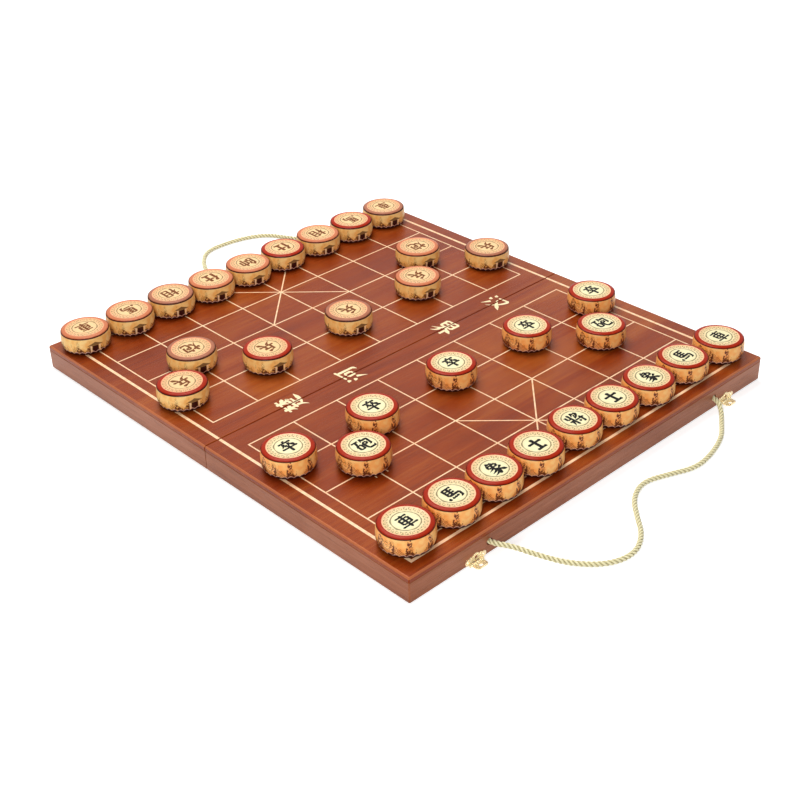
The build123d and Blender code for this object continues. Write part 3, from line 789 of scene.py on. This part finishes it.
def tangent_arc(start, end, count, upright):
    """Arc in (radius, height) from start to end. It leaves start upright, or else level, so its
    centre lies level with or straight below start, at half the chord squared over the drop."""
    (r0, z0), (r1, z1) = start, end
    dr, dz = r1 - r0, z1 - z0
    if upright:
        radius = (dr**2 + dz**2) / (2 * abs(dr))
        centre = np.array([r0 - radius, z0])
    else:
        radius = (dr**2 + dz**2) / (2 * abs(dz))
        centre = np.array([r0, z0 - radius])
    first = math.atan2(z0 - centre[1], r0 - centre[0])
    last = math.atan2(z1 - centre[1], r1 - centre[0])
    angle = np.linspace(first, last, count)
    return np.column_stack([centre[0] + radius * np.cos(angle), centre[1] + radius * np.sin(angle)])


def piece_profile():
    """Rings from the foot's middle up and over to the face's middle, with the part each belongs to:
    0 foot and belly, 1 groove, 2 rim, 3 face. Sharp edges hold two rings close together."""
    foot = np.array([[0.0, 0.0], [12.0, 0.0], [FOOT_RADIUS - 0.3, 0.0], [FOOT_RADIUS, 0.05], HEEL])
    lower = tangent_arc((BELLY_RADIUS, BELLY_HEIGHT), HEEL, 12, True)[::-1][1:]
    upper = tangent_arc((BELLY_RADIUS, BELLY_HEIGHT), SHOULDER, 12, True)[1:]
    groove = np.array([
        [SHOULDER[0] - 0.15, SHOULDER[1] + 0.08],
        [GROOVE_RADIUS, SHOULDER[1] + 0.12],
        [GROOVE_RADIUS, GROOVE_TOP - 0.06],
        [RIM_START - 0.1, GROOVE_TOP],
    ])
    rim_foot = (RIM_START, GROOVE_TOP + 0.06)
    rim = tangent_arc((FACE_RADIUS, PIECE_HEIGHT), rim_foot, 10, False)[::-1]
    face = np.array([
        [FACE_RADIUS - 0.12, PIECE_HEIGHT - 0.06],
        [FACE_RADIUS - 0.2, FACE_HEIGHT + 0.05],
        [FACE_RADIUS - 0.35, FACE_HEIGHT],
        [14.0, FACE_HEIGHT],
        [7.0, FACE_HEIGHT],
        [0.0, FACE_HEIGHT],
    ])
    profile = np.concatenate([foot, lower, upper, groove, rim, face])
    counts = [len(foot) + len(lower) + len(upper), len(groove), len(rim), len(face)]
    return profile, np.repeat([0, 1, 2, 3], counts)


# The prints on a piece. The pavilion's start and middle are in steps round the belly.
PRINT_STEPS = 36.0  # steps of the landscape round the belly
SCALE_HEIGHT = 2.1
SCALE_WIDTH = 4.2
CLOUD_LOW = 9.0
CLOUD_HIGH = 16.4
PAVILION_START = 2.4
PAVILION_MIDDLE = 5.6
PAVILION_FLOOR = 3.2
PAVILION_CEILING = 10.4
PAVILION_PEAK = 14.2
FOAM_WIDTH = 0.7
FRET_STEPS = 26.0  # dashes in one ring of fret work
FRET_INNER = 14.9
FRET_CORE = 16.3
FRET_OUTER = 17.6
FRET_LINE = 0.95
FRET_CORE_LINE = 0.55
CIRCLE_RADIUS = 11.7
PRINT_BROWN = (0.10, 0.020, 0.006, 1.0)
PRINT_MAROON = (0.035, 0.004, 0.003, 1.0)
FOAM_MAUVE = (0.75, 0.46, 0.38, 1.0)
PAPER_CREAM = (0.97, 0.72, 0.42, 1.0)
OLD_VARNISH = (0.83, 0.66, 0.26, 1.0)
# Near black for the groove under the rim, painted as the shade in that recess.
GROOVE_SHADE_BROWN = (0.060, 0.008, 0.002, 1.0)


def printed(tree):
    """Place on a piece, with its three parts."""
    place = add_node(tree, "ShaderNodeAttribute", attribute_name="piece_mm").outputs["Vector"]
    return place, add_node(tree, "ShaderNodeSeparateXYZ", {0: place}).outputs


def ring_line(tree, radius, middle, width):
    """1 on a thin ring about the upright and 0 elsewhere."""
    return within(tree, radius, middle - width / 2, middle + width / 2, 0.06)


def flat_radius(tree, parts):
    """Distance from the upright through the piece's middle."""
    square = product(tree, parts["Y"], parts["Y"])
    return number(tree, "SQRT", number(tree, "MULTIPLY_ADD", parts["X"], parts["X"], square))


def turns(tree, parts, count):
    """How many of count equal steps round the piece a point lies at."""
    angle = number(tree, "ARCTAN2", parts["Y"], parts["X"])
    return number(tree, "MULTIPLY_ADD", angle, count / (2 * math.pi), count)


def scale_waves(tree, along, height):
    """Rows of overlapping scallops, each with rings inside it: the brush pattern for water."""
    row = product(tree, height, 1 / SCALE_HEIGHT)
    odd = number(tree, "MODULO", number(tree, "FLOOR", row), 2.0)
    shift = product(tree, odd, 0.5)
    column = number(tree, "FRACT", number(tree, "MULTIPLY_ADD", along, 1 / SCALE_WIDTH, shift))
    across = product(tree, number(tree, "SUBTRACT", column, 0.5), 2.0)
    up = number(tree, "FRACT", row)
    square = number(tree, "MULTIPLY_ADD", across, across, product(tree, up, up))
    out = product(tree, number(tree, "SQRT", square), 2.0)
    return excess(tree, 0.22, number(tree, "PINGPONG", out, 0.5), 9.0)


def noise_along(tree, place, scale, detail, low, high):
    """Noise taken at one height only, so that it draws a skyline, stretched to run from 0 to 1."""
    level = {0: place, 1: (1.0, 1.0, 0.0)}
    flat = add_node(tree, "ShaderNodeVectorMath", level, operation="MULTIPLY").outputs[0]
    return span(tree, noise(tree, scale, detail, flat), low, high)


def far_hills(tree, place, height, step, brushed, colours, colour):
    """A wash of hills, with leaves on some of them and scallops of water on the rest."""
    wash, line = colours
    skyline = noise_along(tree, place, 0.085, 3.0, 0.38, 0.60)
    skyline = number(tree, "MULTIPLY_ADD", skyline, 18.0, 1.0)
    under = excess(tree, number(tree, "ADD", skyline, brushed), height, 1.2)
    colour = mix(tree, product(tree, under, 0.25), colour, wash)
    leafy = within(tree, noise_along(tree, place, 0.08, 1.0, 0.35, 0.65), 0.50, 2.0, 0.08)
    leaves = excess(tree, noise(tree, 0.50, 2.0, place), 0.475, 22.0)
    colour = mix(tree, product(tree, leaves, leafy, under, 0.95), colour, line)
    along = product(tree, step, 2 * math.pi * BELLY_RADIUS / PRINT_STEPS)
    waves = scale_waves(tree, along, height)
    bare = number(tree, "SUBTRACT", 1.0, leafy)
    return mix(tree, product(tree, waves, bare, under, 0.9), colour, line)


def near_hill(tree, place, height, fine, brushed, glint, colour):
    """Brown hills before the others, with glints of the ground through them."""
    skyline = noise_along(tree, place, 0.045, 2.5, 0.43, 0.57)
    skyline = product(tree, skyline, 10.0)
    ridge = excess(tree, number(tree, "ADD", skyline, brushed), height, 1.5)
    colour = mix(tree, product(tree, ridge, 0.95), colour, PRINT_BROWN)
    glints = excess(tree, fine, 0.54, 14.0)
    return mix(tree, product(tree, glints, 0.75, ridge), colour, glint)


def ringed_clouds(tree, place, height, line, colour):
    """Curls of rings in parts of the sky."""
    cells = add_node(tree, "ShaderNodeTexVoronoi", {"Vector": place, "Scale": 0.24})
    spread = product(tree, cells.outputs["Distance"], 4.2)
    curl = excess(tree, 0.20, number(tree, "PINGPONG", spread, 0.5), 9.0)
    sky = within(tree, noise_along(tree, place, 0.09, 2.0, 0.35, 0.65), 0.58, 2.0, 0.04)
    sky = product(tree, sky, within(tree, height, CLOUD_LOW, CLOUD_HIGH, 0.4))
    return mix(tree, product(tree, curl, 0.85, sky), colour, line)


def pavilion(tree, height, step, colour):
    """A dark hall between two cream posts, under a pointed roof."""
    bay = number(tree, "MODULO", number(tree, "SUBTRACT", step, PAVILION_START), PRINT_STEPS)
    off = number(tree, "ABSOLUTE", number(tree, "SUBTRACT", bay, PAVILION_MIDDLE))
    inside = product(tree, within(tree, off, -1.0, 0.75, 0.1),
                     within(tree, height, PAVILION_FLOOR, PAVILION_CEILING, 0.3))
    posts = product(tree, within(tree, off, 0.85, 1.25, 0.05),
                    within(tree, height, PAVILION_FLOOR - 0.2, PAVILION_CEILING + 0.2, 0.2))
    colour = mix(tree, product(tree, posts, 0.8), colour, PAPER_CREAM)
    eave = number(tree, "MULTIPLY_ADD", off, -1.8, PAVILION_PEAK)
    roof = product(tree, excess(tree, eave, height, 3.0),
                   within(tree, height, PAVILION_CEILING, 16.0, 0.2), 0.8)
    return mix(tree, number(tree, "MAXIMUM", inside, roof), colour, PRINT_MAROON)


def foam(tree, height, step, fine, colour):
    """Dark scalloped water at the foot, edged by a line of foam."""
    scallop = number(tree, "SINE", product(tree, step, math.pi * 0.75))
    ragged = number(tree, "MULTIPLY_ADD", fine, 2.4, 0.6)
    crest = number(tree, "MULTIPLY_ADD", number(tree, "ABSOLUTE", scallop), 1.8, ragged)
    colour = mix(tree, number(tree, "LESS_THAN", height, crest), colour, PRINT_MAROON)
    over = number(tree, "SUBTRACT", height, crest)
    return mix(tree, within(tree, over, 0.0, FOAM_WIDTH, 0.1), colour, FOAM_MAUVE)


def landscape_print(name, light, deep, wash, line, edge_line):
    """The belly: a gold ground, leafy hills that rise and fall round the piece, water drawn as
    scallops, ringed clouds, a pavilion once round, and a line of mauve foam at the foot."""
    material, tree, shader = start_material(name, 0.38, Specular_IOR_Level=0.2, Coat_Weight=0.08,
                                            Coat_Roughness=0.12)
    place, parts = printed(tree)
    height = parts["Z"]
    step = turns(tree, parts, PRINT_STEPS)
    fine = noise(tree, 0.46, 4.0, place)
    brushed = product(tree, number(tree, "SUBTRACT", fine, 0.5), 9.0)
    colour = ramp(tree, noise(tree, 0.15, 4.0, place), [(0.36, light), (0.60, deep)])
    colour = far_hills(tree, place, height, step, brushed, (wash, line), colour)
    colour = near_hill(tree, place, height, fine, brushed, deep, colour)
    colour = ringed_clouds(tree, place, height, line, colour)
    colour = pavilion(tree, height, step, colour)
    colour = foam(tree, height, step, fine, colour)
    edge = within(tree, height, SHOULDER[1] - edge_line, PIECE_HEIGHT, 0.15)
    paint(tree, shader, mix(tree, edge, colour, PRINT_MAROON))
    bump(tree, shader, fine, 0.00003)
    return material


def painted_rim(name, colour, edge):
    """Lacquer paint on the rim, with painted shade making it darker where it meets the groove."""
    material, tree, shader = start_material(name, 0.34, Specular_IOR_Level=0.07, Coat_Weight=0.03,
                                            Coat_Roughness=0.1)
    place, parts = printed(tree)
    patches = noise(tree, 0.25, 3.0, place)
    risen = span(tree, parts["Z"], GROOVE_TOP + 0.1, FACE_HEIGHT)
    share = weighted(tree, (risen, 0.6), (patches, 0.5))
    # The rim is painted darker down towards the groove, as painted shade; the patches vary the paint
    # at random.
    paint(tree, shader, ramp(tree, share, [(0.25, edge), (0.75, colour)]))
    return material


def fret_work(tree, place, parts, radius):
    """Three rings of dashes, the outer two joined in turn by short bars, all a little worn."""
    step = turns(tree, parts, FRET_STEPS)
    cell = number(tree, "FRACT", step)
    half_step = number(tree, "FRACT", product(tree, step, 2.0))
    fret = product(tree, within(tree, radius, FRET_INNER, FRET_OUTER + 0.1, 0.1),
                   within(tree, half_step, 0.40, 0.60, 0.05))
    for middle, width, start, end in (
        (FRET_INNER, FRET_LINE, 0.05, 0.58),
        (FRET_OUTER, FRET_LINE, 0.45, 0.95),
        (FRET_CORE, FRET_CORE_LINE, 0.62, 0.90),
    ):
        ring = ring_line(tree, radius, middle, width)
        dashes = product(tree, ring, within(tree, cell, start, end, 0.04))
        fret = number(tree, "MAXIMUM", fret, dashes)
    wear_and_highlight = excess(tree, noise(tree, 0.75, 3.0, place), 0.40, 6.0)
    return product(tree, fret, number(tree, "MULTIPLY_ADD", wear_and_highlight, 0.60, 0.30))


def brushed_circle(tree, place, radius):
    """A circle round the character, which sways and swells as the brush was pressed."""
    pressed = noise(tree, 0.16, 3.0, place)
    sway = number(tree, "MULTIPLY_ADD", pressed, 1.4, CIRCLE_RADIUS)
    off = number(tree, "ABSOLUTE", number(tree, "SUBTRACT", radius, sway))
    width = number(tree, "MULTIPLY_ADD", pressed, 1.6, -0.14)
    return excess(tree, width, off, 5.0)


def printed_face(name, pale, warm, blush, ink_colour):
    """The face: pale wood that warms and then blushes towards its edge, a brushed ink circle, and
    rings of fret work."""
    material, tree, shader = start_material(name, 0.38, Specular_IOR_Level=0.3, Coat_Weight=0.1,
                                            Coat_Roughness=0.12)
    place, parts = printed(tree)
    radius = flat_radius(tree, parts)
    grain = stretched_noise(tree, place, (0.06, 1.4, 0.5), 5.0, 0.3)
    edge = span(tree, radius, 8.0, FACE_RADIUS)
    share = weighted(tree, (edge, 0.5), (grain, 0.5))
    colour = ramp(tree, share, [(0.28, pale), (0.68, warm)])
    mottle = excess(tree, noise(tree, 0.33, 3.0, place), 0.48, 3.0)
    colour = mix(tree, product(tree, mottle, 0.5), colour, OLD_VARNISH)
    colour = mix(tree, within(tree, radius, 18.7, BELLY_RADIUS, 0.5), colour, blush)
    fret = fret_work(tree, place, parts, radius)
    circle = product(tree, brushed_circle(tree, place, radius), 0.85)
    paint(tree, shader, mix(tree, number(tree, "MAXIMUM", fret, circle), colour, ink_colour))
    return material


def ink(name, colour, thin):
    """Brushed ink, with a second tone where the brush ran thin."""
    material, tree, shader = start_material(name, 0.45, Specular_IOR_Level=0.08)
    paint(tree, shader, ramp(tree, noise(tree, 420.0, 3.0), [(0.45, colour), (0.62, thin)]))
    return material


profile, profile_part = piece_profile()
# The groove is painted near black, with no reflection, as painted shade in the recess.
groove = start_material("groove_painted_shade", 0.8, GROOVE_SHADE_BROWN, Specular_IOR_Level=0.0)[0]
PIECE_FINISH = {
    "black": (
        landscape_print("red_brown_landscape", (1.00, 0.56, 0.19, 1.0), (0.97, 0.39, 0.09, 1.0),
                        (0.80, 0.18, 0.06, 1.0), (0.10, 0.012, 0.004, 1.0), 0.25),
        printed_face("black_side_face", (0.92, 0.86, 0.52, 1.0), (0.88, 0.60, 0.30, 1.0),
                     (0.93, 0.47, 0.27, 1.0), (0.14, 0.10, 0.02, 1.0)),
        ink("black_ink", (0.004, 0.003, 0.003, 1.0), (0.010, 0.008, 0.006, 1.0)),
    ),
    "red": (
        landscape_print("olive_landscape", (1.00, 0.68, 0.26, 1.0), (0.92, 0.48, 0.13, 1.0),
                        (0.80, 0.40, 0.09, 1.0), (0.11, 0.045, 0.008, 1.0), 0.75),
        printed_face("red_side_face", (0.90, 0.60, 0.29, 1.0), (0.85, 0.45, 0.21, 1.0),
                     (0.85, 0.32, 0.16, 1.0), (0.18, 0.11, 0.02, 1.0)),
        ink("red_ink", (0.100, 0.052, 0.012, 1.0), (0.36, 0.075, 0.025, 1.0)),
    ),
}
# The red side's rims were painted in three batches.
# The second colour of each rim is its painted shade where it meets the groove.
RIM_FINISH = {
    "red": painted_rim("red_rim", (0.38, 0.020, 0.002, 1.0), (0.20, 0.006, 0.001, 1.0)),
    "russet": painted_rim("russet_rim", (0.60, 0.19, 0.085, 1.0), (0.32, 0.055, 0.016, 1.0)),
    "umber": painted_rim("umber_rim", (0.42, 0.155, 0.085, 1.0), (0.12, 0.025, 0.010, 1.0)),
}
RED_RIMMED = ("red_soldier_1", "red_soldier_2", "red_advisor_right", "red_horse_right")
UMBER_RIMMED = ("red_cannon_left", "red_elephant_left", "red_chariot_right", "red_soldier_3",
                "red_soldier_5")


def rim_of(node):
    """The rim finish of a piece's node."""
    if node.startswith("black") or node in RED_RIMMED:
        return RIM_FINISH["red"]
    return RIM_FINISH["umber" if node in UMBER_RIMMED else "russet"]


GLYPH_SIZE = 0.0184
GLYPH_DEPTH = 0.00014
GLYPH_SINK = 0.04
GLYPH_BOLDNESS = 1.15
RANK_BOLDNESS = {"advisor": 1.6, "soldier": 1.3, "chariot": 1.1}


def turned_piece(node, colour):
    """The profile turned about the upright, in millimetres from its foot's middle, then moved to
    the node's place. Its first and last rings are points, closed by fans."""
    low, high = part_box(node)
    centre = ((low[0] + high[0]) / 2, (low[1] + high[1]) / 2, low[2])
    facing = 0.0 if colour == "black" else math.pi
    angle = np.arange(PIECE_SEGMENTS) / PIECE_SEGMENTS * 2 * math.pi
    rings = profile[1:-1]
    x = rings[:, 0, None] * np.cos(angle)
    y = rings[:, 0, None] * np.sin(angle)
    z = np.broadcast_to(rings[:, 1, None], x.shape)
    ends = [[0.0, 0.0, profile[0, 1]], [0.0, 0.0, profile[-1, 1]]]
    local = np.concatenate([np.stack([x, y, z], axis=-1).reshape(-1, 3), ends])
    faces = grid_faces(len(rings), PIECE_SEGMENTS).tolist()
    finish = np.repeat(profile_part[2:-1], PIECE_SEGMENTS).tolist()
    bottom = len(local) - 2
    top = len(local) - 1
    last = (len(rings) - 1) * PIECE_SEGMENTS
    for column in range(PIECE_SEGMENTS):
        following = (column + 1) % PIECE_SEGMENTS
        faces.append([bottom, following, column])
        faces.append([top, last + column, last + following])
        finish += [0, 3]
    belly, face, _ = PIECE_FINISH[colour]
    piece = new_piece(f"turned_{node}", placed(local * MM, facing, centre, 1.0), faces, belly)
    for material in (groove, rim_of(node), face):
        piece.data.materials.append(material)
    piece.data.polygons.foreach_set("material_index", finish)
    print_place = piece.data.attributes.new("piece_mm", "FLOAT_VECTOR", "POINT")
    print_place.data.foreach_set("vector", local.ravel())
    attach(piece, node)
    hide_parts(node)
    return centre, facing


def inked_character(node, colour, centre, facing):
    """The rank's character on the face, in the script's form for that side if there are two."""
    rank = node.split("_")[1]
    character = f"{colour}_{rank}" if f"{colour}_{rank}" in BRUSH else rank
    boldness = RANK_BOLDNESS.get(rank, GLYPH_BOLDNESS)
    vertices, faces = brush_mesh(character, GLYPH_SIZE, boldness)
    seat = (centre[0], centre[1], centre[2] + (FACE_HEIGHT - GLYPH_SINK) * MM)
    vertices = placed(vertices, facing, seat, GLYPH_DEPTH)
    piece = new_piece(f"ink_{node}", vertices, faces, PIECE_FINISH[colour][2], smooth=False)
    outward(piece.data)
    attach(piece, node)


for node in sorted(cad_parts):
    colour = node.split("_")[0]
    if colour in PIECE_FINISH:
        centre, facing = turned_piece(node, colour)
        inked_character(node, colour, centre, facing)


bpy.context.view_layer.update()
